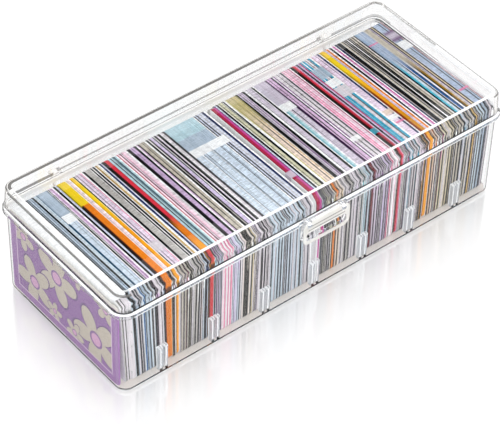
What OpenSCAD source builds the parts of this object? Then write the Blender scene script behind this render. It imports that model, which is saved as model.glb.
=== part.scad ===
// Clear hinged box filled with index cards.
// The tray has rib pairs that hold upright dividers, the lid turns on two pins at the back and
// is shut by a swing latch at the front. Packs of loose cards and stiff guide cards fill the tray.
// Millimetres. Origin at the middle of the tray's underside, latch side at -Y, +Z up.

/* [Cards] */
// Width of a card, across the tray
card_w = 124; // [100:1:160]
// Height of a card
card_h = 79.3; // [60:0.1:110]
// Corner radius of a loose card
card_corner = 3; // [0.5:0.5:6]
// Room between the cards and the ribs, front and back together
card_play = 4; // [1:0.1:8]
// Room between the cards' front edges and the ribs
front_gap = 0.5; // [0.3:0.1:2]
// How far a guide card stands above the loose cards
guide_rise = 1.2; // [0.2:0.1:4]
// Corner radius of a guide card
guide_corner = 5; // [0.5:0.5:8]
// Gap between neighbouring packs
pack_gap = 0.1; // [0.06:0.02:0.4]
// Thickness of the printed end card
end_card_t = 0.8; // [0.4:0.1:2]
// How far the end card's top lies below the tops of the loose cards
end_drop = 3.1; // [0:0.1:10]
// Room between the end card's edges and the rounded tray corners
end_clear = 0.4; // [0.2:0.1:2]
// Free run between the end card and the first pack
spare_run = 4.5; // [3:0.1:20]
// Free run behind the last pack
last_run = 0.6; // [0.5:0.1:10]

/* [Tray] */
// Length of the tray inside, at its floor
tray_inner_l = 345; // [300:0.1:400]
// Thickness of the tray's walls
wall_t = 2; // [1.6:0.1:3]
// Thickness of the tray's floor
floor_t = 3.2; // [2:0.1:5]
// How far each wall leans out between the floor and the rim
wall_lean = 0.6; // [0.2:0.1:1.5]
// Corner radius of the tray's rim, outside
tray_corner = 9; // [7:0.5:16]
// Radius of the edge round the underside
base_round = 3; // [1:0.5:4]
// How far the rim lies below the tops of the loose cards
rim_drop = 3.9; // [0:0.1:8]

/* [Divider ribs] */
// Depth of a rib, from the wall towards the cards
rib_depth = 4.4; // [3:0.1:8]
// Thickness of a rib
rib_t = 2.4; // [1.6:0.1:4]
// Height of a rib above the floor
rib_h = 23; // [10:1:40]
// Bevel on a rib's inner top corner
rib_bevel = 1.6; // [0.5:0.1:3]
// Distance from one rib pair to the next
rib_pitch = 46; // [30:1:70]
// Thickness of the divider
divider_t = 1.6; // [1:0.1:2.5]
// Height of the divider
divider_h = 68; // [40:1:74]
// Corner radius of the divider
divider_corner = 4; // [1:0.5:10]
// Room beside the divider, in its slot, at the walls and next to the cards
divider_clear = 0.3; // [0.2:0.05:0.6]

/* [Lid] */
// Thickness of the lid's walls
lid_wall_t = 2.2; // [1.6:0.1:3]
// Thickness of the lid's top
top_t = 2.2; // [1.6:0.1:3]
// Room between the loose cards and the lid's top
head_room = 12.7; // [8:0.1:30]
// How far the lid's wall stands over the tray's rim
seat_w = 0.8; // [0.5:0.1:1.4]
// Gap between the lid's seat and the rim
seat_clear = 0.3; // [0.1:0.05:0.6]
// How far the lid's lap reaches down outside the rim
lap_h = 3.4; // [2.4:0.1:5]
// Thickness of the lap
lap_t = 2.4; // [1.8:0.1:3]
// Room between the lap and the tray's wall
lap_clear = 0.6; // [0.5:0.05:1]
// Thickness of the shoulder above the lap
shoulder_t = 0.9; // [0.6:0.1:2]
// Radius of the lap's outer edges
lap_round = 1; // [0.3:0.1:1.2]
// How far the lid's walls lean in towards the top
lid_lean = 1; // [0:0.1:1.5]
// Radius of the lid's top edge, outside
top_round = 2.5; // [1.5:0.5:5]
// Radius of the lid's top edge, inside
top_round_inner = 1.6; // [0.5:0.1:3]

/* [Hinge] */
// Distance of each hinge ear from the middle of the box
hinge_x = 127; // [80:1:145]
// Radius of a hinge ear
ear_r = 3; // [2.4:0.1:4]
// Width of a hinge ear along the hinge line
ear_w = 5; // [3:0.5:8]
// Height of an ear's foot on the back wall
ear_foot = 13; // [6:1:25]
// Height of the hinge line above the lap's lower edge
hinge_up = 1.6; // [1.4:0.1:2]
// Radius of a hinge pin
pin_r = 1.3; // [0.8:0.1:1.8]
// Running clearance round every pin
pin_clear = 0.05; // [0.02:0.01:0.1]
// Thickness of the hinge strip between the ears
strip_t = 2.2; // [1.6:0.1:2.8]
// Side of the square collar at each end of the strip
collar_w = 3.2; // [2.4:0.1:4]
// Room between parts that pass each other
pass_clear = 0.4; // [0.3:0.05:0.8]

/* [Latch] */
// Width of the latch
latch_w = 43; // [30:1:60]
// Thickness of the latch
latch_t = 3.2; // [2.4:0.1:4.5]
// Reach of the latch below its pivot
latch_drop = 17.8; // [14:0.1:26]
// Reach of the latch above its pivot
latch_rise = 3.4; // [2.8:0.1:5]
// Corner radius of the latch
latch_corner = 6; // [2:0.5:8]
// Width of the latch's window
window_w = 37; // [24:1:52]
// Height of the latch's window
window_h = 8; // [5:0.1:12]
// Height of the bar below the window
grip_h = 3; // [2:0.1:5]
// Height of the latch's pivot above the lap's lower edge
pivot_up = 2.8; // [2:0.1:4]
// Distance of each latch pivot from the middle
pivot_x = 15.8; // [8:0.1:20]
// Width of a lid lug that carries the latch
lug_w = 3; // [2:0.1:5]
// Radius of a lid lug
lug_r = 2.4; // [2:0.1:3]
// Radius of the latch's pivot pins
latch_pin_r = 1.2; // [0.8:0.1:1.6]
// Width of the catch on the tray
catch_w = 30; // [16:1:46]
// Height of the catch at its nose
catch_nose = 2.8; // [1.5:0.1:4]

/* [Hidden] */
$fn = 64;
arc_steps = 6;
sink = 0.5;
over = 1;

card_top = floor_t + card_h;
rim_z = card_top - rim_drop;
lid_under = card_top + head_room;
lid_top = lid_under + top_t;
seat_z = rim_z + seat_clear;
lap_z = rim_z - lap_h;
lap_top = seat_z + shoulder_t;

// Half sizes, and the corner centres that every shell shares
rib_face = (card_w + card_play) / 2;
card_reach = rib_face - front_gap;
card_y = card_w / 2 - card_reach;
inner_half_l = tray_inner_l / 2;
inner_half_w = rib_face + rib_depth;
rim_half_l = inner_half_l + wall_t + wall_lean;
rim_half_w = inner_half_w + wall_t + wall_lean;
centre_x = rim_half_l - tray_corner;
centre_y = rim_half_w - tray_corner;
lap_half_w = rim_half_w + lap_clear + lap_t;

// Radii about a corner centre
tray_r = tray_corner;
tray_foot_r = tray_r - wall_lean;
foot_inner_r = tray_foot_r - wall_t;
lap_inner_r = tray_r + lap_clear;
lap_r = lap_inner_r + lap_t;
lid_inner_r = tray_r - seat_w;
lid_r = lid_inner_r + lid_wall_t;

// Hinge line, just outside the lap at the back
hinge_y = lap_half_w + pass_clear + ear_r;
hinge_z = lap_z + hinge_up;
strip_end = hinge_x - ear_w / 2 - pass_clear;

// Latch pivot, in front of the flat that is cut into the lap
latch_flat_y = -(lap_half_w - lap_t / 2);
latch_reach = norm([latch_t / 2, latch_rise]);
latch_y = latch_flat_y - pass_clear - latch_reach;
latch_z = lap_z + pivot_up;
window_z = latch_z - latch_drop + grip_h;
window_r = window_h * 3 / 8;
catch_z = window_z + pass_clear;
catch_nose_y = latch_y - latch_t / 2 + pass_clear;
catch_root_z = window_z + window_h - 2 * pass_clear;

// How far a card's edges keep it from the end wall, where the tray's corners round in
card_past = max(0, card_reach - centre_y);
corner_gap = foot_inner_r - sqrt(pow(foot_inner_r, 2) - pow(card_past, 2));
end_card_x = -inner_half_l + corner_gap + end_clear + end_card_t / 2;

slot_w = divider_t + 2 * divider_clear;
pairs_each_way = floor((inner_half_l - slot_w / 2 - rib_t) / rib_pitch);

// Packs from the first on the left to the divider, and from the divider to the right end:
// name, share of the run, colour, and whether it is a stiff guide card
LEFT_PACKS = [
    ["blank_cards", 4.6, "whitesmoke", false],
    ["slate_cards", 4.9, "slategray", false],
    ["teal_grey_cards", 5.5, "lightslategray", false],
    ["light_blue_cards", 8.5, "lightsteelblue", false],
    ["lilac_cards", 6.5, "thistle", false],
    ["pale_lavender_cards", 2.4, "lavender", false],
    ["orange_guide", 6.3, "darkorange", true],
    ["cream_cards", 4.5, "linen", false],
    ["gold_guide", 2.6, "gold", true],
    ["pink_lilac_cards", 8.5, "thistle", false],
    ["grey_cards", 6.2, "darkgray", false],
    ["striped_cards", 5.4, "dimgray", false],
    ["tan_cards", 2.3, "tan", false],
    ["navy_edge_cards", 3.6, "steelblue", false],
    ["scarlet_guide", 4.4, "crimson", true],
    ["sky_cards", 8, "lightblue", false],
    ["rose_cards", 9.2, "pink", false],
    ["lavender_cards", 7.2, "plum", false],
    ["taupe_cards", 9.1, "rosybrown", false],
    ["violet_cards", 6.7, "thistle", false],
    ["mauve_cards", 5.3, "rosybrown", false],
    ["pale_grey_cards", 6.4, "gainsboro", false],
    ["steel_blue_cards", 26.1, "lightsteelblue", false],
    ["ice_blue_cards", 5.6, "aliceblue", false],
    ["white_cards", 5.7, "whitesmoke", false],
];
RIGHT_PACKS = [
    ["crimson_guide", 5.5, "mediumvioletred", true],
    ["navy_cards", 4.5, "midnightblue", false],
    ["olive_cards", 6.9, "darkkhaki", false],
    ["peach_cards", 10.1, "peachpuff", false],
    ["grey_lavender_cards", 8.1, "thistle", false],
    ["silver_lilac_cards", 8.6, "silver", false],
    ["mauve_teal_cards", 10.9, "thistle", false],
    ["plum_cards", 7.3, "plum", false],
    ["pearl_cards", 7.5, "lightgray", false],
    ["pink_lined_cards", 9.7, "pink", false],
    ["cherry_guide", 3.8, "firebrick", true],
    ["pale_mauve_cards", 5.8, "lavender", false],
    ["teal_block_cards", 11.2, "cadetblue", false],
    ["blush_cards", 8, "mistyrose", false],
    ["amber_guide", 3.6, "orange", true],
    ["amber_lined_cards", 5.7, "moccasin", false],
    ["dark_plum_cards", 5.9, "indigo", false],
    ["black_cards", 6, "black", false],
    ["lined_taupe_cards", 13.9, "gray", false],
    ["azure_cards", 8.9, "steelblue", false],
    ["bronze_cards", 4.6, "saddlebrown", false],
    ["sand_cards", 5.5, "tan", false],
    ["frost_blue_cards", 8.6, "lightsteelblue", false],
];
left_start = end_card_x + end_card_t / 2 + spare_run;
left_end = -divider_t / 2 - divider_clear;
right_start = divider_t / 2 + divider_clear;
right_end = inner_half_l - corner_gap - last_run;

// Points of an arc about a centre, from one angle to another
function arc(centre, r, from, to) =
    [for (i = [0:arc_steps]) let (a = from + (to - from) * i / arc_steps)
        centre + r * [cos(a), sin(a)]];

function share_before(packs, i) = i == 0 ? 0 : share_before(packs, i - 1) + packs[i - 1][1];

// A wall profile of [radius about a corner centre, height] mirrored about a straight run's middle
function mirrored(profile, half) = concat(
    [for (p = profile) [half + p.x, p.y]],
    [for (i = [len(profile) - 1:-1:0]) [-half - profile[i].x, profile[i].y]]
);

// Block whose sides follow a wall profile along four straight runs and round four corners
module profiled_block(profile) {
    rotate([90, 0, 90])
        linear_extrude(2 * centre_x, center = true)
            polygon(mirrored(profile, centre_y));
    rotate([90, 0, 0])
        linear_extrude(2 * centre_y, center = true)
            polygon(mirrored(profile, centre_x));
    low = profile[0].y;
    high = profile[len(profile) - 1].y;
    for (corner = [[1, 1, 0], [-1, 1, 90], [-1, -1, 180], [1, -1, 270]])
        translate([corner.x * centre_x, corner.y * centre_y, 0])
            rotate(corner.z)
                rotate_extrude(angle = 90)
                    polygon(concat([[0, low]], profile, [[0, high]]));
}

// Extrudes an outline of [y, z] points along X, centred on x
module along_x(x, width) {
    translate([x, 0, 0])
        rotate([90, 0, 90])
            linear_extrude(width, center = true)
                children();
}

module rod_x(x, width, r, y, z) {
    along_x(x, width)
        translate([y, z])
            circle(r);
}

module rounded_rect(low, high, r) {
    translate([low.x + r, low.y])
        square([high.x - low.x - 2 * r, high.y - low.y]);
    translate([low.x, low.y + r])
        square([high.x - low.x, high.y - low.y - 2 * r]);
    for (x = [low.x + r, high.x - r], y = [low.y + r, high.y - r])
        translate([x, y])
            circle(r);
}

// Pair of ribs with a divider slot between them, on the wall at +Y
module rib_pair(x) {
    for (side = [-1, 1])
        along_x(x + side * (slot_w + rib_t) / 2, rib_t)
            polygon([
                [rib_face, floor_t - sink],
                [inner_half_w + sink, floor_t - sink],
                [inner_half_w + sink, floor_t + rib_h],
                [rib_face + rib_bevel, floor_t + rib_h],
                [rib_face, floor_t + rib_h - rib_bevel],
            ]);
}

// Bracket on the back wall that comes up behind the lap and holds a lid pin
module hinge_ear(x) {
    foot_y = inner_half_w + wall_t - sink;
    shelf_z = lap_z - 2 * pass_clear;
    along_x(x, ear_w)
        difference() {
            union() {
                translate([hinge_y, hinge_z])
                    circle(ear_r);
                polygon([
                    [foot_y, shelf_z - ear_foot],
                    [hinge_y + ear_r, hinge_z],
                    [hinge_y - ear_r, hinge_z],
                    [hinge_y - ear_r, shelf_z],
                    [foot_y, shelf_z],
                ]);
            }
            translate([hinge_y, hinge_z])
                circle(pin_r + pin_clear);
        }
}

// Wedge that the latch's lower bar hooks under
module latch_catch() {
    root_y = -(inner_half_w + wall_t - sink);
    along_x(0, catch_w)
        polygon([
            [root_y, catch_z],
            [catch_nose_y, catch_z],
            [catch_nose_y, catch_z + catch_nose],
            [root_y, catch_root_z],
        ]);
}

module tray() {
    outer = concat(
        arc([tray_foot_r - base_round, base_round], base_round, -90, 0),
        [[tray_r, rim_z]]
    );
    inner = [
        [foot_inner_r, floor_t],
        [tray_r - wall_t + wall_lean * over / rim_z, rim_z + over],
    ];
    color("aliceblue", 0.4) {
        difference() {
            profiled_block(outer);
            profiled_block(inner);
        }
        for (i = [-pairs_each_way:pairs_each_way]) {
            rib_pair(i * rib_pitch);
            rotate(180)
                rib_pair(i * rib_pitch);
        }
        for (side = [-1, 1])
            hinge_ear(side * hinge_x);
        latch_catch();
    }
}

// Strip behind the lap that carries the two hinge pins, with a square collar next to each ear
module hinge_strip() {
    root_y = lap_half_w - sink;
    along_x(0, 2 * strip_end)
        translate([root_y, hinge_z - strip_t / 2])
            square([hinge_y - root_y, strip_t]);
    rod_x(0, 2 * strip_end, strip_t / 2, hinge_y, hinge_z);
    for (side = [-1, 1]) {
        along_x(side * (strip_end - collar_w / 2), collar_w)
            translate([hinge_y - collar_w / 2, hinge_z - collar_w / 2])
                square(collar_w);
        rod_x(side * (strip_end + (ear_w + pass_clear - sink) / 2), ear_w + pass_clear + sink,
            pin_r, hinge_y, hinge_z);
    }
}

// Lug on the lid's front that one of the latch's pins turns in
module latch_lug(x) {
    along_x(x, lug_w)
        difference() {
            union() {
                translate([latch_y, latch_z])
                    circle(lug_r);
                translate([latch_y, latch_z - lug_r])
                    square([latch_flat_y - latch_y + sink, 2 * lug_r]);
            }
            translate([latch_y, latch_z])
                circle(latch_pin_r + pin_clear);
        }
}

module lid() {
    outer = concat(
        arc([lap_r - lap_round, lap_z + lap_round], lap_round, -90, 0),
        arc([lap_r - lap_round, lap_top - lap_round], lap_round, 0, 90),
        [[lid_r, lap_top]],
        arc([lid_r - lid_lean - top_round, lid_top - top_round], top_round, 0, 90)
    );
    inner = concat(
        [[lap_inner_r, lap_z - over], [lap_inner_r, seat_z], [lid_inner_r, seat_z]],
        arc([lid_inner_r - lid_lean - top_round_inner, lid_under - top_round_inner],
            top_round_inner, 0, 90)
    );
    flat_w = latch_w + 2 * pass_clear;
    color("aliceblue", 0.35) {
        difference() {
            profiled_block(outer);
            profiled_block(inner);
            translate([-flat_w / 2, latch_flat_y - lap_t, lap_z - over])
                cube([flat_w, lap_t, lap_top - lap_z + 2 * over]);
        }
        hinge_strip();
        for (side = [-1, 1])
            latch_lug(side * pivot_x);
    }
}

module latch() {
    notch_w = lug_w + 2 * pass_clear;
    notch_low = latch_z - lug_r - pass_clear;
    color("white", 0.6) {
        translate([0, latch_y + latch_t / 2, 0])
            rotate([90, 0, 0])
                linear_extrude(latch_t)
                    difference() {
                        rounded_rect([-latch_w / 2, latch_z - latch_drop],
                            [latch_w / 2, latch_z + latch_rise], latch_corner);
                        rounded_rect([-window_w / 2, window_z],
                            [window_w / 2, window_z + window_h], window_r);
                        for (side = [-1, 1])
                            translate([side * pivot_x - notch_w / 2, notch_low])
                                square([notch_w, latch_z + latch_rise - notch_low + over]);
                    }
        for (side = [-1, 1])
            rod_x(side * pivot_x, notch_w + 2 * sink, latch_pin_r, latch_y, latch_z);
    }
}

module upright_card(x, t, y, w, h, r) {
    along_x(x, t)
        rounded_rect([y - w / 2, floor_t], [y + w / 2, floor_t + h], r);
}

module middle_divider() {
    color("white", 0.5)
        upright_card(0, divider_t, 0, 2 * (inner_half_w - divider_clear), divider_h, divider_corner);
}

module end_card() {
    color("mediumpurple")
        upright_card(end_card_x, end_card_t, 0, 2 * card_reach, card_h - end_drop, card_corner);
}

// One pack, in its share of the run between two places
module card_pack(packs, i, from, to) {
    pack = packs[i];
    scale_x = (to - from) / share_before(packs, len(packs));
    t = pack[1] * scale_x - pack_gap;
    x = from + (share_before(packs, i) + pack[1] / 2) * scale_x;
    rise = pack[3] ? guide_rise : 0;
    corner = pack[3] ? guide_corner : card_corner;
    color(pack[2])
        upright_card(x, t, card_y, card_w, card_h + rise, corner);
}

tray();
lid();
latch();
middle_divider();
end_card();
for (i = [0:len(LEFT_PACKS) - 1])
    card_pack(LEFT_PACKS, i, left_start, left_end);
for (i = [0:len(RIGHT_PACKS) - 1])
    card_pack(RIGHT_PACKS, i, right_start, right_end);
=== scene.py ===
"""Looks of a clear hinged box full of index cards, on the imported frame. Metres, +Z up, latch at -Y."""
import math
import random

import bmesh
import bpy
from mathutils import Matrix, Vector


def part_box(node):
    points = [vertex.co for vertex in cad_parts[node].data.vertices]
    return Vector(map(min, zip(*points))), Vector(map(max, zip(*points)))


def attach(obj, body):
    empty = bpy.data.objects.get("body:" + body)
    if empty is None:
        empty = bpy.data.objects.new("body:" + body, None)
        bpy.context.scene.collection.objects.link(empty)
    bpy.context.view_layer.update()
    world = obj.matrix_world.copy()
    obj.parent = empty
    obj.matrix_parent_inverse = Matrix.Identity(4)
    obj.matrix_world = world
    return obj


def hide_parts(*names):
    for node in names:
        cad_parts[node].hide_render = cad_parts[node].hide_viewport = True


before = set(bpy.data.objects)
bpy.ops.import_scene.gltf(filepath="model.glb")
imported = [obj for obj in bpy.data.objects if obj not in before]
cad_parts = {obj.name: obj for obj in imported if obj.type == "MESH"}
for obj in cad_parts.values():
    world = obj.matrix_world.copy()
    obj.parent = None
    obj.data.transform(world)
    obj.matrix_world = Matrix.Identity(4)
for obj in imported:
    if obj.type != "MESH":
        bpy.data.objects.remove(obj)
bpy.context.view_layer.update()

MM = 0.001


# Node trees

class Value:
    """An output of a node. Arithmetic on it adds Math nodes to the same finish."""

    def __init__(self, finish, output):
        self.finish = finish
        self.output = output

    def math(self, operation, *values):
        return self.finish.node("ShaderNodeMath", {"operation": operation}, dict(enumerate(values)))

    def __add__(self, other):
        return self.math("ADD", self, other)

    def __sub__(self, other):
        return self.math("SUBTRACT", self, other)

    def __rsub__(self, other):
        return self.math("SUBTRACT", other, self)

    def __mul__(self, other):
        return self.math("MULTIPLY", self, other)

    def __truediv__(self, other):
        return self.math("DIVIDE", self, other)

    def __pow__(self, other):
        return self.math("POWER", self, other)

    def __gt__(self, other):
        return self.math("GREATER_THAN", self, other)

    def __lt__(self, other):
        return self.math("LESS_THAN", self, other)

    def __or__(self, other):
        return self.math("MAXIMUM", self, other)

    def __and__(self, other):
        return self.math("MINIMUM", self, other)

    def __mod__(self, other):
        return self.math("FLOORED_MODULO", self, other)

    def __abs__(self):
        return self.math("ABSOLUTE", self)

    __radd__ = __add__
    __rmul__ = __mul__


class Finish:
    """Node tree of a material or of the world. Every node comes from node()."""

    def __init__(self, owner):
        owner.use_nodes = True
        self.owner = owner
        self.tree = owner.node_tree
        self.tree.nodes.clear()

    def node(self, kind, settings=None, inputs=None, output=0):
        made = self.tree.nodes.new(kind)
        for name, setting in (settings or {}).items():
            setattr(made, name, setting)
        for name, value in (inputs or {}).items():
            if isinstance(value, Value):
                self.tree.links.new(value.output, made.inputs[name])
            else:
                made.inputs[name].default_value = value
        return Value(self, made.outputs[output]) if made.outputs else None

    def place(self):
        """Object coordinates, which are metres in the box's own frame, as x, y and z."""
        where = self.node("ShaderNodeTexCoord", output="Object")
        return [self.node("ShaderNodeSeparateXYZ", inputs={0: where}, output=i) for i in range(3)]

    def noise(self, scale, detail=2.0, stretch=(1, 1, 1)):
        where = self.node("ShaderNodeTexCoord", output="Object")
        pulled = self.node("ShaderNodeMapping", inputs={"Vector": where, "Scale": stretch})
        return self.node("ShaderNodeTexNoise", inputs={"Vector": pulled, "Scale": scale, "Detail": detail})

    def mix(self, share, first, second, blend="MIX"):
        """Second colour over the first, by a share from 0 to 1."""
        settings = {"data_type": "RGBA", "blend_type": blend}
        return self.node("ShaderNodeMix", settings, {0: share, 6: first, 7: second}, output=2)

    def bump(self, height, strength, distance):
        inputs = {"Height": height, "Strength": strength, "Distance": distance}
        return self.node("ShaderNodeBump", inputs=inputs)

    def principled(self, **inputs):
        named = {name.replace("_", " "): value for name, value in inputs.items()}
        return self.node("ShaderNodeBsdfPrincipled", inputs=named)

    def surface(self, shader):
        self.node("ShaderNodeOutputMaterial", inputs={"Surface": shader})
        return self.owner


def new_finish(name):
    return Finish(bpy.data.materials.new(name))


def linear(shade):
    """Linear value of one display channel from 0 to 255."""
    share = shade / 255
    return share / 12.92 if share <= 0.04045 else ((share + 0.055) / 1.055) ** 2.4


def rgb(red, green, blue):
    return (linear(red), linear(green), linear(blue), 1)


def tone(colour, share):
    """A colour made lighter or darker."""
    return [share * part for part in colour[:3]] + [1]


# Printing inks on the cards, as display colours, and the colours that paint shade on them

INKS = {
    # Black print, and painted shadow lines between packs and between sheets
    "night": rgb(6, 6, 10),
    # Painted shade, along the guides' left sides and between packs
    "soot": rgb(20, 8, 6),
    "charcoal": rgb(66, 66, 74),
    "navy": rgb(26, 40, 88),
    "deep": rgb(14, 66, 96),
    "indigo": rgb(30, 20, 58),
    "aubergine": rgb(44, 14, 54),
    "blue": rgb(28, 84, 146),
    "lagoon": rgb(52, 154, 182),
    "cyan": rgb(74, 182, 204),
    "teal": rgb(128, 180, 190),
    "spruce": rgb(70, 98, 112),
    "slate": rgb(172, 187, 202),
    "steel": rgb(192, 206, 216),
    "sky": rgb(202, 213, 225),
    "mist": rgb(180, 208, 216),
    "frost": rgb(168, 182, 204),
    "ice": rgb(208, 212, 226),
    "white": rgb(244, 244, 244),
    "pearl": rgb(216, 209, 214),
    "grey": rgb(180, 176, 172),
    "stone": rgb(190, 182, 168),
    "sand": rgb(216, 202, 170),
    "tan": rgb(208, 176, 110),
    "khaki": rgb(190, 180, 116),
    "cream": rgb(226, 216, 208),
    "peach": rgb(226, 206, 190),
    "yellow": rgb(236, 208, 20),
    "amber": rgb(240, 160, 14),
    # Painted shade along the left sides of the orange and amber guides
    "orange": rgb(224, 122, 6),
    "rust": rgb(150, 62, 6),
    "red": rgb(206, 42, 60),
    "maroon": rgb(110, 12, 24),
    "crimson": rgb(170, 30, 70),
    "wine": rgb(186, 40, 90),
    "raspberry": rgb(172, 66, 108),
    "rose": rgb(226, 128, 166),
    "blush": rgb(230, 208, 219),
    "pink": rgb(222, 205, 222),
    "orchid": rgb(208, 178, 208),
    "lilac": rgb(200, 186, 214),
    "lavender": rgb(196, 170, 204),
    "mauve": rgb(202, 192, 206),
    "plum": rgb(110, 72, 118),
    "magenta": rgb(188, 70, 146),
    "olive": rgb(200, 198, 170),
    "bronze": rgb(150, 110, 26),
    "brown": rgb(140, 58, 70),
}

# Stripes on top of each pack from left to right: ink and width in millimetres, scaled to the pack. The dark
# stripes at the left of the guides paint the shade along their left sides, and dark stripes at the ends of
# many packs paint shadow lines between packs
STRIPES = {
    "blank_cards": "white 4.6",
    "slate_cards": "white .9 night .6 slate 3.4",
    "teal_grey_cards": "slate 1.2 night .9 steel 1.1 grey .3 steel 1.4 deep .6",
    "light_blue_cards": "deep .9 sky 5.8 blue .5 white 1 night .3",
    "lilac_cards": "night 1.1 white .4 orchid 1.7 plum .4 orchid 1.3 white .8 night .8",
    "pale_lavender_cards": "night .4 ice .9 slate .3 ice .5 night .3",
    "orange_guide": "soot .7 rust .7 orange 4.9",
    "cream_cards": "white .8 cream .8 grey .5 blush 2 white .4",
    "gold_guide": "amber 2.2 white .4",
    "pink_lilac_cards": "white .5 night 1 pink 5.5 rose .8 white .7",
    "grey_cards": "white .6 night 1.1 grey 4.5",
    "striped_cards": "grey .6 white .5 night .9 white .8 charcoal .4 night .9 white .6 grey .7",
    "tan_cards": "tan 1.8 sand .5",
    "navy_edge_cards": "white .9 navy 1.1 ice 1.2 soot .4",
    "scarlet_guide": "soot .8 maroon .5 red 3.1",
    "sky_cards": "white .5 mist 4.8 spruce .9 mist 1.8",
    "rose_cards": "white .7 wine 1 white .7 rose .5 blush 2.6 rose .4 blush 2.6 white .7",
    "lavender_cards": "white .5 night 1.1 lavender 5.6",
    "taupe_cards": "night .9 white .9 orchid .8 night .9 stone 4.6 charcoal .4 stone .6",
    "violet_cards": "white 1 night 1.5 white .8 grey .5 night .7 lilac 2.2",
    "mauve_cards": "lilac .7 night .7 white .8 night 1 mauve 2.1",
    "pale_grey_cards": "night .9 pearl 5 charcoal .5",
    "steel_blue_cards": "sky 2.2 slate .4 " * 10,
    "ice_blue_cards": "white .6 charcoal .9 ice 4.1",
    "white_cards": "grey .9 ice 2.3 navy 1.2 white 1.3",
    "crimson_guide": "white .3 maroon .7 crimson 2.6 magenta 1.9",
    "navy_cards": "navy .9 ice 1.6 night 1.6 white .4",
    "olive_cards": "olive 4.8 night 1.2 white .9",
    "peach_cards": "white .5 khaki .8 peach 6 tan 1.2 cream 1.2 night .4",
    "grey_lavender_cards": "night .8 mauve 2 plum .4 mauve 1.6 plum .4 mauve 1.3 night 1.3 white .3",
    "silver_lilac_cards": "white .5 mauve 6.2 night 1.1 white .8",
    "mauve_teal_cards": "white .5 teal 1.3 mist 1.8 mauve 6.6 aubergine .7",
    "plum_cards": "aubergine .8 orchid 5 aubergine 1.2 white .3",
    "pearl_cards": "pink .8 plum .7 pearl 5.8 charcoal .2",
    "pink_lined_cards": "charcoal .7 blush 1.2 rose .5 blush 1.6 rose .4 blush 1.8 rose .5 blush 1 "
                        "raspberry 1 white 1",
    "cherry_guide": "soot .6 maroon .7 red 1.7 rose .8",
    "pale_mauve_cards": "ice 1.6 plum .8 lilac 2.2 raspberry 1.2",
    "teal_block_cards": "lagoon 1.4 white .8 lagoon 1.6 pearl 4.3 lagoon 1.4 white 1.4",
    "blush_cards": "raspberry .6 pink 5.4 navy 1.1 white .9",
    "amber_guide": "rust .6 amber 3",
    "amber_lined_cards": "white .8 lilac 1.3 pearl .8 orange 1.5 white .9",
    "dark_plum_cards": "white .3 indigo 1.7 white 1 orchid .6 magenta 1.5 white .8",
    "black_cards": "navy 2 grey 1 night 2.6 white .5",
    "lined_taupe_cards": "stone 1.4 night .7 grey .8 night .6 grey .7 night .7 white .7 night .7 "
                         "grey .6 night .6 stone 1.2 night .7 stone .9 night .9",
    "azure_cards": "deep .8 cyan 1.9 steel 2.6 night .5 white 1.1 blue 1.7 night .4 ice .4",
    "bronze_cards": "ice .8 night 1.2 bronze 2.2 white .4",
    "sand_cards": "stone .6 charcoal .6 lilac 1 night 1 sand 1 night 1 white .3",
    "frost_blue_cards": "frost 6.8 charcoal .4 white .2 brown .9 pearl .3",
}
GUIDES = [name for name in STRIPES if name.endswith("_guide")]

# Print across a pack: ink, from and to across the tray, and width of its soft edge, in millimetres
BLOCKS = {
    "blank_cards": [("white", -64, 64, 0.3)],
    "light_blue_cards": [("slate", 30, 64, 0.5), ("white", 21, 30, 0.3)],
    "orange_guide": [("yellow", 29, 64, 1)],
    "gold_guide": [("yellow", 10, 64, 40)],
    "pink_lilac_cards": [("pearl", -39, -28, 3)],
    "scarlet_guide": [("orange", -64, -24, 14), ("amber", -64, -46, 14)],
    "steel_blue_cards": [("mist", 43, 64, 1), ("slate", 30, 43, 1), ("white", 21, 30, 0.3)],
    "ice_blue_cards": [("white", 21, 30, 0.3)],
    "crimson_guide": [("grey", 57, 64, 0.5), ("mauve", -37, -30, 1)],
    "peach_cards": [("khaki", 30, 64, 40)],
    "mauve_teal_cards": [("mauve", 30, 64, 0.5), ("white", 21, 30, 0.3)],
    "pearl_cards": [("white", -34, -29, 0.6), ("grey", -36.5, -35.5, 0.5)],
    "cherry_guide": [("cyan", -38, -32, 0.8)],
    "teal_block_cards": [("slate", 33, 46, 2), ("white", 21, 30, 0.3), ("pearl", 8, 20, 0.6)],
    "blush_cards": [("peach", -27, -21, 0.8), ("white", -33, -28, 0.8), ("rose", -38, -36, 0.8)],
    "amber_guide": [("yellow", 15, 64, 40)],
    "azure_cards": [("frost", 10, 64, 20), ("rose", 41, 42.5, 0.5)],
    "bronze_cards": [("stone", 4, 64, 20)],
    "frost_blue_cards": [("plum", 34, 47, 3), ("mauve", 38, 44, 3), ("white", 22, 32, 0.3),
                         ("rose", -39, -37, 0.6)],
}
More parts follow.
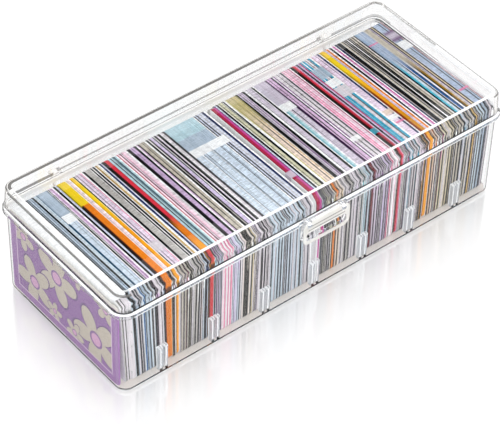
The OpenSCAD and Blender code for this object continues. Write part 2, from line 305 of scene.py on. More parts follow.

# Inks of the cards' front edges, each from an x in millimetres to the next. Their night runs stand partly
# for painted shade between sheets
FRONTS = """
-170 slate -168.5 night -167.4 grey -166 night -165 pearl -163.6 night -162.4 steel -160.4 night -159.4
slate -158.5 charcoal -157 pearl -156 charcoal -153 blue -151 slate -148.5 steel -146 grey -144.5
white -143.5 slate -141.2 night -138.6 pearl -136.5 night -135.5 ice -129.6 white -128.9 charcoal -128
tan -125.9 night -125.2 cream -122.6 mauve -120.4 night -119.6 stone -110.2 night -108.2 pearl -107 grey
-101.8 night -99.8 slate -97 night -96 ice -92 lilac -90.8 slate -89.3 white -88.5 plum -86.6 lilac -85
indigo -83.8 ice -82.5 rose -79.6 wine -78.2 rose -76.2 wine -75.2 rose -73.6 navy -71.8 lilac -70 navy
-68.6 steel -66.6 white -65.6 night -64.6 cream -61.2 night -59.8 cream -56.8 sand -54.2 night -53 cream
-52.2 night -51 grey -50.2 night -48.6 pearl -47.8 night -47 pearl -42.4 night -41.6 pearl -39.6
charcoal -38.8 steel -35.4 night -34.2 steel -26 night -25 sky -18.6 night -17.4 sky -15 charcoal -14
steel -8.6 night -7.4 pearl -6.4 night -5 charcoal -3.8 night -2.4 white 1.1 night 4.4 white 8.2
charcoal 9.4 grey 12.2 night 13.4 pearl 16 charcoal 17 cream 19.8 orange 21.4 peach 24 cream 26.6
charcoal 27.6 pearl 28.8 night 30 grey 36.2 night 37.6 charcoal 39 pearl 40 charcoal 44.2 grey 47.6 blue
49 mist 52 steel 55 maroon 57 mauve 64.6 night 66.2 lilac 72.6 wine 74.4 pearl 76.6 rose 78.4 white 79.6
night 81 slate 84 night 85.2 grey 88 charcoal 91.4 steel 92.2 spruce 93.4 pearl 101.8 night 103.6 stone
105.6 bronze 106.6 tan 108 cream 109.6 orange 112 cream 113.8 bronze 115 peach 119.2 indigo 121 sand 127
charcoal 128.2 cream 129.6 sand 135 night 136.6 stone 144 night 145.4 pearl 147 stone 152 night 153.6
tan 156.8 night 158.2 steel 164 slate 168 charcoal
"""


# Finishes

def band(value, low, high, blur):
    """1 between two limits and 0 outside, with a soft edge."""
    rising = ((value - low) / blur + 0.5 | 0) & 1
    falling = ((high - value) / blur + 0.5 | 0) & 1
    return rising * falling


# Print blocks over the sheets' inks: how far they cover them and how far they calm the grain
BLOCK_SHARE = 0.9
BLOCK_CALM = 0.6

# Paper: strength of the grain on tops and on front edges, its scale and stretch, roughness and shine
CARD_GRAIN = (1.7, 0.7)
GUIDE_GRAIN = (0.5, 0.4)
GRAIN_SCALE = 1000
TOP_STRETCH = (0.22, 1, 0.22)
FRONT_STRETCH = (1, 0.03, 0.03)
TOOTH_SCALE = 2600
CARD_ROUGH = 0.75
GUIDE_ROUGH = 0.45
PAPER_SHINE = 0.06


def paper(name, blocks, gloss):
    """Printed card stock: the sheets' own inks, blocks of other print, and a grain that runs across the
    tops and up the front edges."""
    finish = new_finish(name)
    y = finish.place()[1]
    colour = finish.node("ShaderNodeAttribute", {"attribute_name": "ink"})
    top = finish.node("ShaderNodeAttribute", {"attribute_name": "printed"}, output="Fac")
    plain = 0.0
    for ink, low, high, blur in blocks:
        inside = band(y, low * MM, high * MM, blur * MM) * top
        colour = finish.mix(inside * BLOCK_SHARE, colour, INKS[ink])
        plain = inside | plain
    across = finish.noise(GRAIN_SCALE, detail=2, stretch=TOP_STRETCH) - 0.5
    upward = finish.noise(GRAIN_SCALE, detail=1, stretch=FRONT_STRETCH) - 0.5
    worn = top * (1 - plain * BLOCK_CALM) if blocks else top
    top_grain, front_grain = GUIDE_GRAIN if gloss else CARD_GRAIN
    grain = worn * across * top_grain + (1 - top) * upward * front_grain
    colour = finish.mix(1.0, colour, grain + 1, "MULTIPLY")
    rough = (GUIDE_ROUGH if gloss else CARD_ROUGH) + grain * 0.1
    tooth = finish.bump(finish.noise(TOOTH_SCALE), strength=0.25, distance=0.1 * MM)
    return finish.surface(finish.principled(Base_Color=colour, Roughness=rough, Normal=tooth,
                                            Specular_IOR_Level=PAPER_SHINE))


# Colours painted on the plastic, for milky places, painted highlights, a painted glow and painted dark
# lines, and the share from which a place takes its own colour
WHITE = rgb(240, 241, 243)
PALE = rgb(238, 235, 231)
BLUISH = rgb(150, 160, 172)
DUSK = rgb(98, 96, 94)
RIB_GREY = rgb(204, 208, 212)
FLOOR_CREAM = rgb(222, 212, 204)
LATCH_CREAM = rgb(226, 224, 219)
LATCH_LINE = rgb(150, 148, 146)
LEAST_SHARE = 0.02

# Clear plastic: its tint, its tint to lamps, its refraction, and scales of its ripple and its clouds
PLASTIC_TINT = (0.985, 0.99, 0.992, 1)
LAMP_TINT = (0.96, 0.965, 0.97, 1)
PLASTIC_IOR = 1.49
RIPPLE_SCALE = 60
CLOUD_SCALE = 90


def clear_plastic(name, milk_and_paint):
    """Clear moulded plastic that lets lamps through to the cards. Its second argument gives the shares and
    colours of milky places and of painted highlights and painted dark lines, and how bright each glows as
    painted light."""
    finish = new_finish(name)
    flow = finish.noise(RIPPLE_SCALE, detail=1)
    ripple = finish.bump(flow, strength=0.02, distance=1 * MM)
    body = finish.principled(Base_Color=PLASTIC_TINT, Roughness=0.012 + flow * 0.02, IOR=PLASTIC_IOR,
                             Transmission_Weight=1.0, Normal=ripple)
    cloud = 0.0
    colour = WHITE
    shine = (0, 0, 0, 1)
    # Each place takes its colour by its share and glows with it by its glow: painted light, as the plastic
    # is no lamp
    for share, ink, glow in milk_and_paint(finish):
        colour = finish.mix(share > LEAST_SHARE, colour, ink)
        shine = finish.mix(share > LEAST_SHARE, shine, tone(ink, glow))
        cloud = share | cloud
    milk_and_paint_shader = finish.principled(Base_Color=colour, Roughness=0.25, Normal=ripple, Emission_Color=shine,
                             Emission_Strength=1.0)
    body = finish.node("ShaderNodeMixShader", inputs={0: cloud, 1: body, 2: milk_and_paint_shader})
    shadow = finish.node("ShaderNodeLightPath", output="Is Shadow Ray")
    bounce = finish.node("ShaderNodeLightPath", output="Is Diffuse Ray")
    through = finish.node("ShaderNodeBsdfTransparent", inputs={"Color": LAMP_TINT})
    inputs = {0: shadow | bounce, 1: body, 2: through}
    return finish.surface(finish.node("ShaderNodeMixShader", inputs=inputs))


# Flowers printed on the end card: middle along the card and up it and radius, in millimetres, and turn
END_FLOWERS = [(-38, 26, 27, 0.2), (8, 50, 24, 0.7), (36, 24, 22, 0.1), (-12, 12, 11, 0.5),
               (48, 60, 13, 0.4), (-50, 64, 12, 0.9), (-18, 68, 9, 0.3), (12, 14, 9, 0.8)]

# A flower's petals, and their waist, outline and heart as shares of its radius
PETALS = 5
PETAL_WAIST = 0.38
PETAL_LINE = 0.08
HEART_RIM_R = 0.27
HEART_R = 0.2

# Inks of the end card, and widths of its frame, the rule round it and the bare upper edge
VIOLET = rgb(142, 92, 160)
VIOLET_DEEP = rgb(106, 62, 126)
VIOLET_PALE = rgb(152, 100, 168)
PETAL = rgb(196, 184, 168)
HEART_RIM = rgb(132, 84, 152)
HEART = rgb(212, 158, 196)
RULE = rgb(230, 206, 226)
BARE_EDGE = rgb(222, 216, 208)
FRAME_W = 7.4 * MM
RULE_W = 0.8 * MM
BARE_W = 2.6 * MM


def end_print(name):
    """Plain print of the end card: cream flowers with pink hearts on violet, in a ruled frame."""
    finish = new_finish(name)
    y, z = finish.place()[1:]
    low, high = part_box("end_card")
    colour = VIOLET
    for middle_y, middle_z, radius, turn in END_FLOWERS:
        past_y = (y - middle_y * MM) / (radius * MM)
        past_z = (z - low.z - middle_z * MM) / (radius * MM)
        reach = (past_y * past_y + past_z * past_z) ** 0.5
        around = past_y.math("ARCTAN2", past_z, past_y)
        lobe = abs(around.math("COSINE", (around + turn) * (PETALS / 2)))
        petal = lobe * (1 - PETAL_WAIST) + PETAL_WAIST
        colour = finish.mix(reach < petal + PETAL_LINE, colour, VIOLET_DEEP)
        colour = finish.mix(reach < petal, colour, PETAL)
        colour = finish.mix(reach < HEART_RIM_R, colour, HEART_RIM)
        colour = finish.mix(reach < HEART_R, colour, HEART)
    inset = ((high.y - abs(y)) & (high.z - z)) & (z - low.z)
    colour = finish.mix(inset < FRAME_W, colour, VIOLET_PALE)
    colour = finish.mix(band(inset, FRAME_W - RULE_W, FRAME_W, 0.1 * MM), colour, RULE)
    colour = finish.mix(high.z - z < BARE_W, colour, BARE_EDGE)
    grain = finish.noise(900, detail=3) * 0.5 + 0.75
    colour = finish.mix(1.0, colour, grain, "MULTIPLY")
    return finish.surface(finish.principled(Base_Color=colour, Roughness=0.85 - grain * 0.2,
                                            Normal=finish.bump(grain, strength=0.15, distance=0.1 * MM)))


# Profile of the mouldings: every wall keeps its distance from one line through four corner centres

CORNER_X = 166.1 * MM
CORNER_Y = 62 * MM
LAP_RADIUS = 12 * MM
LAP_HEIGHT = 4.6 * MM
EAR_INNER = 124 * MM
EAR_OUTER = 130 * MM
STRIP_Y = 77.2 * MM

# Painted dark lines up the corners: from, to and soft edge, as shares of the way round a corner
CORNER_LINE = (0.47, 0.62, 0.06)


def past_corner(x, y):
    """How far a place lies past the corner centres, along the box and across it."""
    return (abs(x) - CORNER_X) | 0, (abs(y) - CORNER_Y) | 0


def wall_radius(x, y):
    """Distance outside the line through the corner centres."""
    past_x, past_y = past_corner(x, y)
    return (past_x * past_x + past_y * past_y) ** 0.5


def corner_line(x, y):
    """Painted dark line up the two corners that a view from the front left sees edge on."""
    past_x, past_y = past_corner(x, y)
    share = past_x / (past_x + past_y + 0.01 * MM)
    return band(share, *CORNER_LINE) * (past_y > 0.5 * MM) * (x * y < 0)


# Lid: depths below its top, skin and painted pale edges of its lap, and where its upper walls begin
CROWN_DEPTH = 1.9 * MM
WALL_CROWN = 2.4 * MM
ROUNDING_DEPTH = 2.6 * MM
LAP_SKIN = 1.7 * MM
LAP_UPPER_EDGE = 0.9 * MM
LAP_LOWER_EDGE = 1.5 * MM
WALL_RADIUS = 7.4 * MM
MARGIN = 0.1 * MM

# Painted highlights and dark lines round the lid's top: from and to, outside the line through the corner
# centres, and soft edge
FRONT_LINE = (4.6 * MM, 7 * MM, 0.3 * MM)
LEFT_LINE = (4.9 * MM, 6.3 * MM, 0.3 * MM)
BACK_LINE = (4.8 * MM, 7.2 * MM, 0.2 * MM)
OUTER_LINE = (7.9 * MM, 8.9 * MM, 0.1 * MM)
ROUNDING_LINE = (8.6 * MM, 9.5 * MM, 0.1 * MM)


def lid_painted_light(finish):
    """Painted highlights along the lap and the top's edge in front, painted dark lines at the back and the
    ends, and a painted glow on the back and right walls.
    """
    x, y, z = finish.place()
    low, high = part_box("lid")
    radius = wall_radius(x, y)
    front = y < 0
    back = y > CORNER_Y
    left = x < -CORNER_X
    right = x > CORNER_X
    crown = z > high.z - CROWN_DEPTH
    shoulder = low.z + LAP_HEIGHT
    lap = (radius > LAP_RADIUS - LAP_SKIN) * (z < shoulder + MARGIN) * front * (1 - left * 0.7)
    edges = (z > shoulder - LAP_UPPER_EDGE) | (z < low.z + LAP_LOWER_EDGE)
    bars = (abs(x) > EAR_OUTER) * (x > -CORNER_X) * (y > CORNER_Y - 8 * MM) * (z < shoulder + 3 * MM)
    fade = 1 - ((x / CORNER_X - 0.2) & 1 | 0) * 0.6
    wall = (back | right) * (radius > WALL_RADIUS) * (z > shoulder + MARGIN)
    rounding = band(radius, *ROUNDING_LINE) * (z > high.z - ROUNDING_DEPTH)
    # Back and right walls with a painted pale glow, paler at the top, then the lap painted bluish and its
    # two edges painted as highlights
    yield wall * (1 + (z > high.z - WALL_CROWN) * 2) * 0.16, PALE, 0.3
    yield lap * 0.4, BLUISH, 0
    yield lap * edges * 0.8, WHITE, 0.1
    # Painted dark bars outside the ears, as the shadow line at the lap's shoulder, painted dark corner
    # lines and the hinge strip painted dark
    yield bars * (radius > LAP_RADIUS - 2 * MM) * (z > shoulder - 0.6 * MM) * fade, DUSK, 0
    yield corner_line(x, y) * (radius > 9 * MM) * (0.5 + (radius > 11 * MM) * 0.4), DUSK, 0
    yield (y > STRIP_Y) * (abs(x) < EAR_INNER) * 0.95, DUSK, 0
    # Edges of the top: painted highlights in front and at the left, painted dark lines behind and at the
    # right
    yield band(radius, *FRONT_LINE) * crown * front * (1 - left) * 0.9, WHITE, 0.15
    yield band(radius, *LEFT_LINE) * crown * left * 0.6, WHITE, 0.15
    yield band(radius, *BACK_LINE) * crown * back * 0.95 * fade, DUSK, 0
    yield band(radius, *OUTER_LINE) * crown * (back | right) * 0.6, DUSK, 0
    # Painted dark lines on the lower edge of the lap at the ends and on the rounding above the left end
    yield (radius > LAP_RADIUS - 0.3 * MM) * (z < low.z + 0.9 * MM) * (left | right) * 0.6, DUSK, 0
    yield rounding * left * (1 - back) * 0.8, DUSK, 0


# Tray: where the ribs begin and end across it and along it, their height and painted pale edges, the rim
# and the floor, and its inside and outside
RIB_FACE = 63.9 * MM
RIB_ROOT = 68.2 * MM
RIB_TOP = 26.4 * MM
RIB_PITCH = 46 * MM
RIB_SIDES = [1.1 * MM, 3.5 * MM]
RIB_EDGE = 0.6 * MM
RIB_FACE_EDGE = 0.8 * MM
RIB_TOP_EDGE = 2 * MM
RIM_Z = 75 * MM
FLOOR_TOP = 3.3 * MM
INNER_END = CORNER_X + 6 * MM
OUTER_RADIUS = 7 * MM

# Lines round the tray's floor and foot, painted as a cream strip in place of shading and as a highlight:
# from, to and soft edge, and height of the painted dark line below them
FLOOR_LINE = (FLOOR_TOP - 0.3 * MM, FLOOR_TOP, 0.05 * MM)
FOOT_LINE = (1.2 * MM, 2.6 * MM, 0.2 * MM)
FOOT_DARK = 0.9 * MM


def tray_milk_and_painted_light(finish):
    """Milky ribs with painted highlights on their edges, a painted glow on the back wall, a painted
    highlight and dark line round the foot, painted dark corner lines, and the floor as a pale warm strip
    painted in place of its shading.
    """
    x, y, z = finish.place()
    inside = (abs(y) < RIB_ROOT) * (abs(x) < INNER_END)
    outside = wall_radius(x, y) > OUTER_RADIUS
    across = abs((x + RIB_PITCH / 2) % RIB_PITCH - RIB_PITCH / 2)
    upright = (abs(y) > RIB_FACE) * (z < RIB_TOP) * (z > FLOOR_TOP)
    ribs = inside * upright * (across < RIB_SIDES[1] + RIB_EDGE)
    side = (across < RIB_SIDES[0] + RIB_EDGE) | (across > RIB_SIDES[1] - RIB_EDGE)
    face = abs(y) < RIB_FACE + RIB_FACE_EDGE
    top = z > RIB_TOP - RIB_TOP_EDGE
    # Back wall with a painted pale glow, milky ribs with a faint painted glow, and painted highlights on
    # their edges
    yield (y > RIB_ROOT) * (z > RIB_TOP) * (0.2 + (z > RIM_Z) * 0.4), PALE, 0.3
    yield ribs * 0.5, RIB_GREY, 0.1
    yield ribs * (side * face | side * top | face * top) * 0.95, WHITE, 0.2
    # Floor as a painted cream strip in place of its shading, a painted highlight and dark line round the
    # foot, and painted dark corner lines
    yield inside * band(z, *FLOOR_LINE) * 0.85, FLOOR_CREAM, 0.1
    yield outside * band(z, *FOOT_LINE) * (y < 0) * 0.8, WHITE, 0.1
    yield outside * (z < FOOT_DARK) * 0.7, DUSK, 0
    yield outside * corner_line(x, y) * 0.45, DUSK, 0


# Latch: depth of its pale front, and its two grey lines painted along it: depths below its top, width, soft
# edge and half length
LATCH_SKIN = 0.4 * MM
LATCH_DEPTHS = (5.2 * MM, 8.4 * MM)
LATCH_LINE_W = 0.7 * MM
LATCH_BLUR = 0.2 * MM
LATCH_LINE_HALF = 17 * MM


def latch_milk(finish):
    """Pale front of the latch with two grey lines painted along it, and clear sides."""
    x, y, z = finish.place()
    low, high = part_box("latch")
    front = y < low.y + LATCH_SKIN
    starts = [high.z - depth for depth in LATCH_DEPTHS]
    upper, lower = [band(z, start, start + LATCH_LINE_W, LATCH_BLUR) for start in starts]
    yield finish.noise(CLOUD_SCALE, detail=1) * 0.3, WHITE, 0
    yield front * 0.75, LATCH_CREAM, 0
    yield front * (upper | lower) * (abs(x) < LATCH_LINE_HALF) * 0.75, LATCH_LINE, 0


def divider_milk_and_glow(finish):
    """The same faint cloud all over, with a faint painted glow."""
    yield finish.noise(CLOUD_SCALE, detail=1) * 0.1 + 0.5, WHITE, 0.05


# Pieces

def new_piece(name, mesh, body, node):
    """A mesh as a piece that rides on a body and takes a node's place."""
    piece = bpy.data.objects.new(name, mesh)
    bpy.context.scene.collection.objects.link(piece)
    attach(piece, body)
    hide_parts(node)


WELD = 0.002 * MM
SMOOTH_ANGLE = math.radians(32)


def smooth_moulding(node, body, material):
    """A moulding's own solid, with its facets welded and its rounded edges shaded smooth."""
    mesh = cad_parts[node].data.copy()
    mesh.name = node + "_moulding"
    faceted = mesh.attributes.get("custom_normal")
    if faceted:
        mesh.attributes.remove(faceted)
    welded = bmesh.new()
    welded.from_mesh(mesh)
    bmesh.ops.remove_doubles(welded, verts=welded.verts, dist=WELD)
    bmesh.ops.recalc_face_normals(welded, faces=welded.faces)
    for edge in welded.edges:
        edge.smooth = edge.is_manifold and edge.calc_face_angle() < SMOOTH_ANGLE
    for face in welded.faces:
        face.smooth = True
    welded.to_mesh(mesh)
    welded.free()
    mesh.materials.clear()
    mesh.materials.append(material)
    new_piece(node + "_moulding", mesh, body, node)


# Sheets: thickness as drawn and gap between two
SHEET_T = 0.42 * MM
SHEET_GAP = 0.05 * MM

# Millimetres that a sheet stands back at its ends and below the pack's top, at most, and packs with a drop
# of their own
INSET = 0.1
DROP = 0.4
DROPS = {name: 0 for name in GUIDES} | {"crimson_guide": 1, "blank_cards": 0.1}

# Stripes that are drawn wider than their recipe, because thin lines fade in a small picture
BOLD = {"night": 1.9, "soot": 1.4, "navy": 1.4, "indigo": 1.3, "aubergine": 1.5, "charcoal": 1.5,
        "white": 1.25}

# Single lines in stripes of more than a few sheets: how many, how many of them are dark, and the tones
LINE_SHARE = 0.2
LINE_MIN = 3
DARK_SHARE = 0.65
DARK_TONE = (0.04, 0.2)
TOP_TONE = (0.97, 1.1)
# Front edges take a darker tone than tops, partly painted shade
FRONT_TONE = (0.75, 1.05)

# Lines along the front edges, partly painted shade and highlight on sheets out of line: widths of lines and
# gaps in millimetres, and a line's ink by the ink round it where it isn't night
LINE_W = (1.0, 1.4)
GAP_W = (0.9, 1.5)
LINE_INKS = {"night": "pearl", "charcoal": "pearl", "navy": "ice", "indigo": "pearl", "plum": "pearl",
             "spruce": "pearl", "blue": "steel", "rose": "white", "wine": "white", "orange": "orange",
             "maroon": "maroon"}

# Outline of a card: corner radii, and points along its top and down its front edge
CARD_CORNER = 3 * MM
GUIDE_CORNER = 5 * MM
TOP_POINTS = 6
WAVE_POINTS = 12

# Fan of the tops, which grows to the back and begins clear of the divider, and of the loose cards in the
# spare room
FAN = 1.7 * MM
FAN_CURVE = 1.5
FAN_START = 12 * MM
SPARE_END = -162 * MM
SPARE_FAN = 0.8

# Front edges: reach of the lip behind them, its step aside and how fast that ends down the edge, and the
# wave, which fades out near the divider and near both ends
LIP = 6 * MM
LIP_STEP = 1.4 * MM
STEP_FADE = 4
WAVE = 0.9 * MM
WAVE_RUN = 13 * MM
WAVE_START = 12 * MM
WAVE_END = 172 * MM

# How far the cards' feet stand to the right of their tops, by x, in millimetres
LEANS = [(-162, 3.5), (-136, 2.6), (-120, 0), (-104, -2), (-94, -0.5), (-80, -0.5), (-50, -1.5),
         (-20, -0.6), (-1, 0), (1, 0), (20, -1), (60, -1.4), (110, -1.8), (140, -2.2), (172, -3)]


def card_outline(low, high, radius, steps=4):
    """Points (y, z) round a card with rounded corners, with more points along its top and below
    its front corner."""
    corners = [(high.y - radius, low.z + radius, -90), (high.y - radius, high.z - radius, 0),
               (low.y + radius, high.z - radius, 90), (low.y + radius, low.z + radius, 180)]
    points = []
    for y, z, start in corners:
        for i in range(steps + 1):
            turn = math.radians(start + 90 * i / steps)
            points.append((y + radius * math.cos(turn), z + radius * math.sin(turn)))
        if start == 0:
            run = y - low.y - LIP
            points += [(y - run * i / TOP_POINTS, high.z) for i in range(1, TOP_POINTS + 1)]
        if start == 90:
            run = WAVE_RUN - radius
            points += [(low.y, z - run * i / WAVE_POINTS) for i in range(1, WAVE_POINTS + 1)]
    return points


def lean(x):
    """How far the foot of a card at x stands to the right of its top."""
    for (start, first), (end, second) in zip(LEANS, LEANS[1:]):
        if x <= end * MM:
            share = max(0, (x / MM - start) / (end - start))
            return (first + (second - first) * share) * MM
    return LEANS[-1][1] * MM


def settle(x, y, z, low, high):
    """Where a point of an upright card comes to lie: tops fan out to the left at the back and into the
    spare room, feet lean, and the front edges step aside and wave below the lid's top."""
    height = (z - low.z) / (high.z - low.z)
    back = (y - low.y) / (high.y - low.y)
    room = min(1, x / FAN_START) if x > 0 else 1
    lip = max(0, 1 - (y - low.y) / LIP)
    down = min(1, (high.z - z) / WAVE_RUN)
    wave = WAVE * abs(math.sin(2 * math.pi * down)) - LIP_STEP * max(0, 1 - STEP_FADE * down)
    wave *= lip * min(1, abs(x) / WAVE_START, (WAVE_END - abs(x)) / WAVE_START)
    spread = SPARE_FAN * max(0, SPARE_END - x)
    return x - FAN * room * height * back ** FAN_CURVE + lean(x) * (1 - height) + wave - spread, y, z


def pairs(recipe):
    """A recipe's words two by two."""
    words = recipe.split()
    return list(zip(words[::2], words[1::2]))


FRONT_RUNS = [(float(start) * MM, ink) for start, ink in pairs(FRONTS)]


def front_ink(x):
    """Ink of the front edges at x."""
    return [ink for start, ink in FRONT_RUNS if start <= x][-1]


SIDE_NORMAL = 0.7


def add_sheet(mesh, layers, rings, top, front, lip):
    """One card between two rings of points. Its broad faces and all behind the lip have the top's ink, and
    the rest has the front's."""
    ink, printed = layers
    rings = [[mesh.verts.new(point) for point in ring] for ring in rings]
    count = len(rings[0])
    faces = [mesh.faces.new(list(reversed(rings[0]))), mesh.faces.new(rings[1])]
    for i in range(count):
        j = (i + 1) % count
        faces.append(mesh.faces.new((rings[0][i], rings[0][j], rings[1][j], rings[1][i])))
    for face in faces:
        face.normal_update()
        like_top = abs(face.normal.x) > SIDE_NORMAL or face.calc_center_median().y > lip
        for loop in face.loops:
            loop[ink] = top if like_top else front
            loop[printed] = (1, 1, 1, 1) if like_top else (0, 0, 0, 1)


def top_ink(rng, ink, lines):
    """Colour of one sheet's top: near its ink or, as one of the lines, dark or white."""
    plain = tone(INKS[ink], rng.uniform(*TOP_TONE))
    if not lines or rng.random() >= LINE_SHARE:
        return plain
    if rng.random() < DARK_SHARE:
        return tone(INKS[ink], rng.uniform(*DARK_TONE))
    return INKS["white"]


def card_pack(name):
    """One pack as separate sheets, each a little out of line with the next."""
    rng = random.Random(name)
    low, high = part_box(name)
    stripes = [(ink, float(width) * BOLD.get(ink, 1)) for ink, width in pairs(STRIPES[name])]
    scale = (high.x - low.x) / sum(width for ink, width in stripes)
    guide = name in GUIDES
    mesh = bmesh.new()
    layers = [mesh.loops.layers.float_color.new(layer) for layer in ("ink", "printed")]
    x = low.x
    lined = False
    line_end = x
    for ink, width in stripes:
        count = max(1, round(width * scale / SHEET_T))
        step = width * scale / count
        for i in range(count):
            inset = rng.uniform(0, INSET) * MM
            drop = DROPS.get(name, rng.uniform(0, DROP)) * MM
            inner = Vector((x, low.y + inset, low.z))
            outer = Vector((x + step - SHEET_GAP, high.y - inset, high.z - drop))
            outline = card_outline(inner, outer, GUIDE_CORNER if guide else CARD_CORNER)
            rings = [[settle(side, y, z, low, high) for y, z in outline] for side in (inner.x, outer.x)]
            if x > line_end:
                lined = not lined
                line_end = x + rng.uniform(*(LINE_W if lined else GAP_W)) * MM
            top = top_ink(rng, ink, not guide and ink != "white" and count > LINE_MIN)
            front = ink if guide else front_ink(x)
            # Lines on the front edges: partly painted shade, and pale over dark inks partly painted
            # highlight
            if lined and not guide:
                front = LINE_INKS.get(front, "night")
            front = tone(INKS[front], rng.uniform(*FRONT_TONE))
            add_sheet(mesh, layers, rings, top, front, low.y + LIP)
            x += step
    data = bpy.data.meshes.new(name + "_sheets")
    mesh.to_mesh(data)
    mesh.free()
    data.materials.append(paper(name, BLOCKS.get(name, []), guide))
    new_piece(name + "_sheets", data, "tray", name)


for pack in STRIPES:
    card_pack(pack)

smooth_moulding("tray", "tray", clear_plastic("tray_plastic", tray_milk_and_painted_light))
smooth_moulding("lid", "lid", clear_plastic("lid_plastic", lid_painted_light))
smooth_moulding("latch", "latch", clear_plastic("latch_plastic", latch_milk))
smooth_moulding("middle_divider", "tray", clear_plastic("divider_plastic", divider_milk_and_glow))
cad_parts["end_card"].data.materials.clear()
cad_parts["end_card"].data.materials.append(end_print("end_card"))


# Floor, light and camera

# Floor: size and height, how bright it is in the clear walls, to the camera and through the plastic, and
# where its shadow and reflection fade to plain white
FLOOR_SIZE = 8
FLOOR_Z = -0.3 * MM
FLOOR_GREY = (0.92, 0.92, 0.92, 1)
FLOOR_ROUGH = 0.1
FLOOR_IOR = 3.3
MIRROR_GREY = (0.14, 0.14, 0.14, 1)
SEEN_WHITE = (1.1, 1.1, 1.1, 1)
THROUGH_WHITE = (1.5, 1.5, 1.5, 1)
THROUGH_SHARE = 0.75
FADE_START = 12 * MM
FADE_RUN = 70 * MM
NEAR_SHARE = 0.15


def white_floor():
    """Pale floor that is white to the camera, with the box's shadow and a faint reflection, and that is
    dim where the clear walls mirror it."""
    bpy.ops.mesh.primitive_plane_add(size=FLOOR_SIZE, location=(0, 0, FLOOR_Z))
    floor = bpy.context.object
    floor.name = "floor"
    finish = new_finish("floor")
    mirrored = finish.node("ShaderNodeLightPath", output="Is Glossy Ray")
    matte = finish.principled(Base_Color=FLOOR_GREY, Roughness=FLOOR_ROUGH, IOR=FLOOR_IOR)
    dim = finish.node("ShaderNodeEmission", inputs={"Color": MIRROR_GREY, "Strength": 1.0})
    ground = finish.node("ShaderNodeMixShader", inputs={0: mirrored, 1: matte, 2: dim})
    seen = finish.node("ShaderNodeLightPath", output="Is Camera Ray")
    through = finish.node("ShaderNodeLightPath", output="Is Transmission Ray")
    shine = finish.mix(through, SEEN_WHITE, THROUGH_WHITE)
    glow = finish.node("ShaderNodeEmission", inputs={"Color": shine, "Strength": 1.0})
    x, y = finish.place()[:2]
    away = (wall_radius(x, y) - FADE_START) / FADE_RUN | 0
    plain = seen * (away * (1 - NEAR_SHARE) + NEAR_SHARE) & 1
    inputs = {0: plain | through * THROUGH_SHARE, 1: ground, 2: glow}
    finish.surface(finish.node("ShaderNodeMixShader", inputs=inputs))
    floor.data.materials.append(finish.owner)


# Reflector: height, reach to each side and hole, in metres, and brightness
REFLECTOR_Z = 0.3
REFLECTOR_HALF = 3
HOLE_X = (-0.05, 0.32)
HOLE_Y = (0.085, 0.25)
REFLECTOR_GLOW = 1.1


def rectangle(xs, ys, z):
    """Corners of a level rectangle between two values of x and two of y."""
    return [(xs[0], ys[0], z), (xs[1], ys[0], z), (xs[1], ys[1], z), (xs[0], ys[1], z)]


def reflector():
    """White sheet with a hole above the box, so that the floor mirrors white but the lid's top doesn't."""
    reach = (-REFLECTOR_HALF, REFLECTOR_HALF)
    corners = rectangle(reach, reach, REFLECTOR_Z) + rectangle(HOLE_X, HOLE_Y, REFLECTOR_Z)
    mesh = bpy.data.meshes.new("reflector")
    mesh.from_pydata(corners, [], [(i, (i + 1) % 4, (i + 1) % 4 + 4, i + 4) for i in range(4)])
    sheet = bpy.data.objects.new("reflector", mesh)
    bpy.context.scene.collection.objects.link(sheet)
    finish = new_finish("reflector")
    inputs = {"Color": (1, 1, 1, 1), "Strength": REFLECTOR_GLOW}
    finish.surface(finish.node("ShaderNodeEmission", inputs=inputs))
    mesh.materials.append(finish.owner)
    sheet.visible_camera = False
    sheet.visible_diffuse = False
    sheet.visible_transmission = False
    sheet.visible_shadow = False


# World: light on matte faces, and what the plastic mirrors: white up to one height and dim above the other
AROUND = 0.95
LEVEL = 1.0
OVERHEAD = 0.06
DIM_HEIGHTS = (0.15, 0.5)


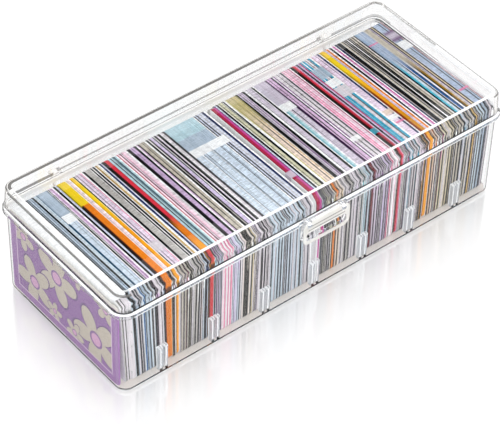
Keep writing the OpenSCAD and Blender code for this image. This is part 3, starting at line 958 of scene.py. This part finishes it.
def studio_world():
    """White to the camera. In the plastic it is dim overhead, so that the lid's top stays clear."""
    finish = Finish(bpy.data.worlds.new("studio"))
    bpy.context.scene.world = finish.owner
    way = finish.node("ShaderNodeTexCoord", output="Generated")
    height = finish.node("ShaderNodeSeparateXYZ", inputs={0: way}, output=2)
    inputs = {0: height, 1: DIM_HEIGHTS[0], 2: DIM_HEIGHTS[1], 3: LEVEL, 4: OVERHEAD}
    dim = finish.node("ShaderNodeMapRange", inputs=inputs)
    camera = finish.node("ShaderNodeLightPath", output="Is Camera Ray")
    glossy = finish.node("ShaderNodeLightPath", output="Is Glossy Ray")
    transmission = finish.node("ShaderNodeLightPath", output="Is Transmission Ray")
    mirrored = glossy | transmission
    strength = camera + (1 - camera) * (mirrored * dim + (1 - mirrored) * AROUND)
    sky = finish.node("ShaderNodeBackground", inputs={"Color": (1, 1, 1, 1), "Strength": strength})
    finish.node("ShaderNodeOutputWorld", inputs={"Surface": sky})


def softbox(name, place, aim, size, watts):
    """Rectangular lamp that points at aim."""
    lamp = bpy.data.lights.new(name, "AREA")
    lamp.shape = "RECTANGLE"
    lamp.size, lamp.size_y = size
    lamp.energy = watts
    holder = bpy.data.objects.new(name, lamp)
    bpy.context.scene.collection.objects.link(holder)
    holder.location = place
    holder.rotation_euler = (Vector(aim) - Vector(place)).to_track_quat("-Z", "Y").to_euler()


# Camera that was fitted to the photograph: place and aim in metres, roll, lens and sensor in millimetres,
# and how far it sees in metres
CAMERA_PLACE = Vector((-0.8170, -0.9702, 1.2161))
CAMERA_AIM = Vector((-0.0113, -0.0070, 0.0348))
CAMERA_ROLL = math.radians(1.69)
CAMERA_LENS = 169.3
SENSOR_WIDTH = 36
FARTHEST = 20


def photo_camera():
    camera = bpy.data.objects.new("camera", bpy.data.cameras.new("camera"))
    bpy.context.scene.collection.objects.link(camera)
    camera.data.lens = CAMERA_LENS
    camera.data.sensor_width = SENSOR_WIDTH
    camera.data.clip_end = FARTHEST
    turn = (CAMERA_AIM - CAMERA_PLACE).to_track_quat("-Z", "Y").to_matrix().to_4x4()
    camera.matrix_world = Matrix.Translation(CAMERA_PLACE) @ turn @ Matrix.Rotation(CAMERA_ROLL, 4, "Z")
    bpy.context.scene.camera = camera


white_floor()
reflector()
studio_world()
softbox("key", place=(0.15, 0.25, 1.6), aim=(0, 0, 0.05), size=(0.9, 0.9), watts=7)
softbox("front", place=(-0.5, -1.5, 0.7), aim=(0, 0, 0.04), size=(1.2, 0.6), watts=13)
photo_camera()
bpy.context.scene.view_settings.view_transform = "Standard"
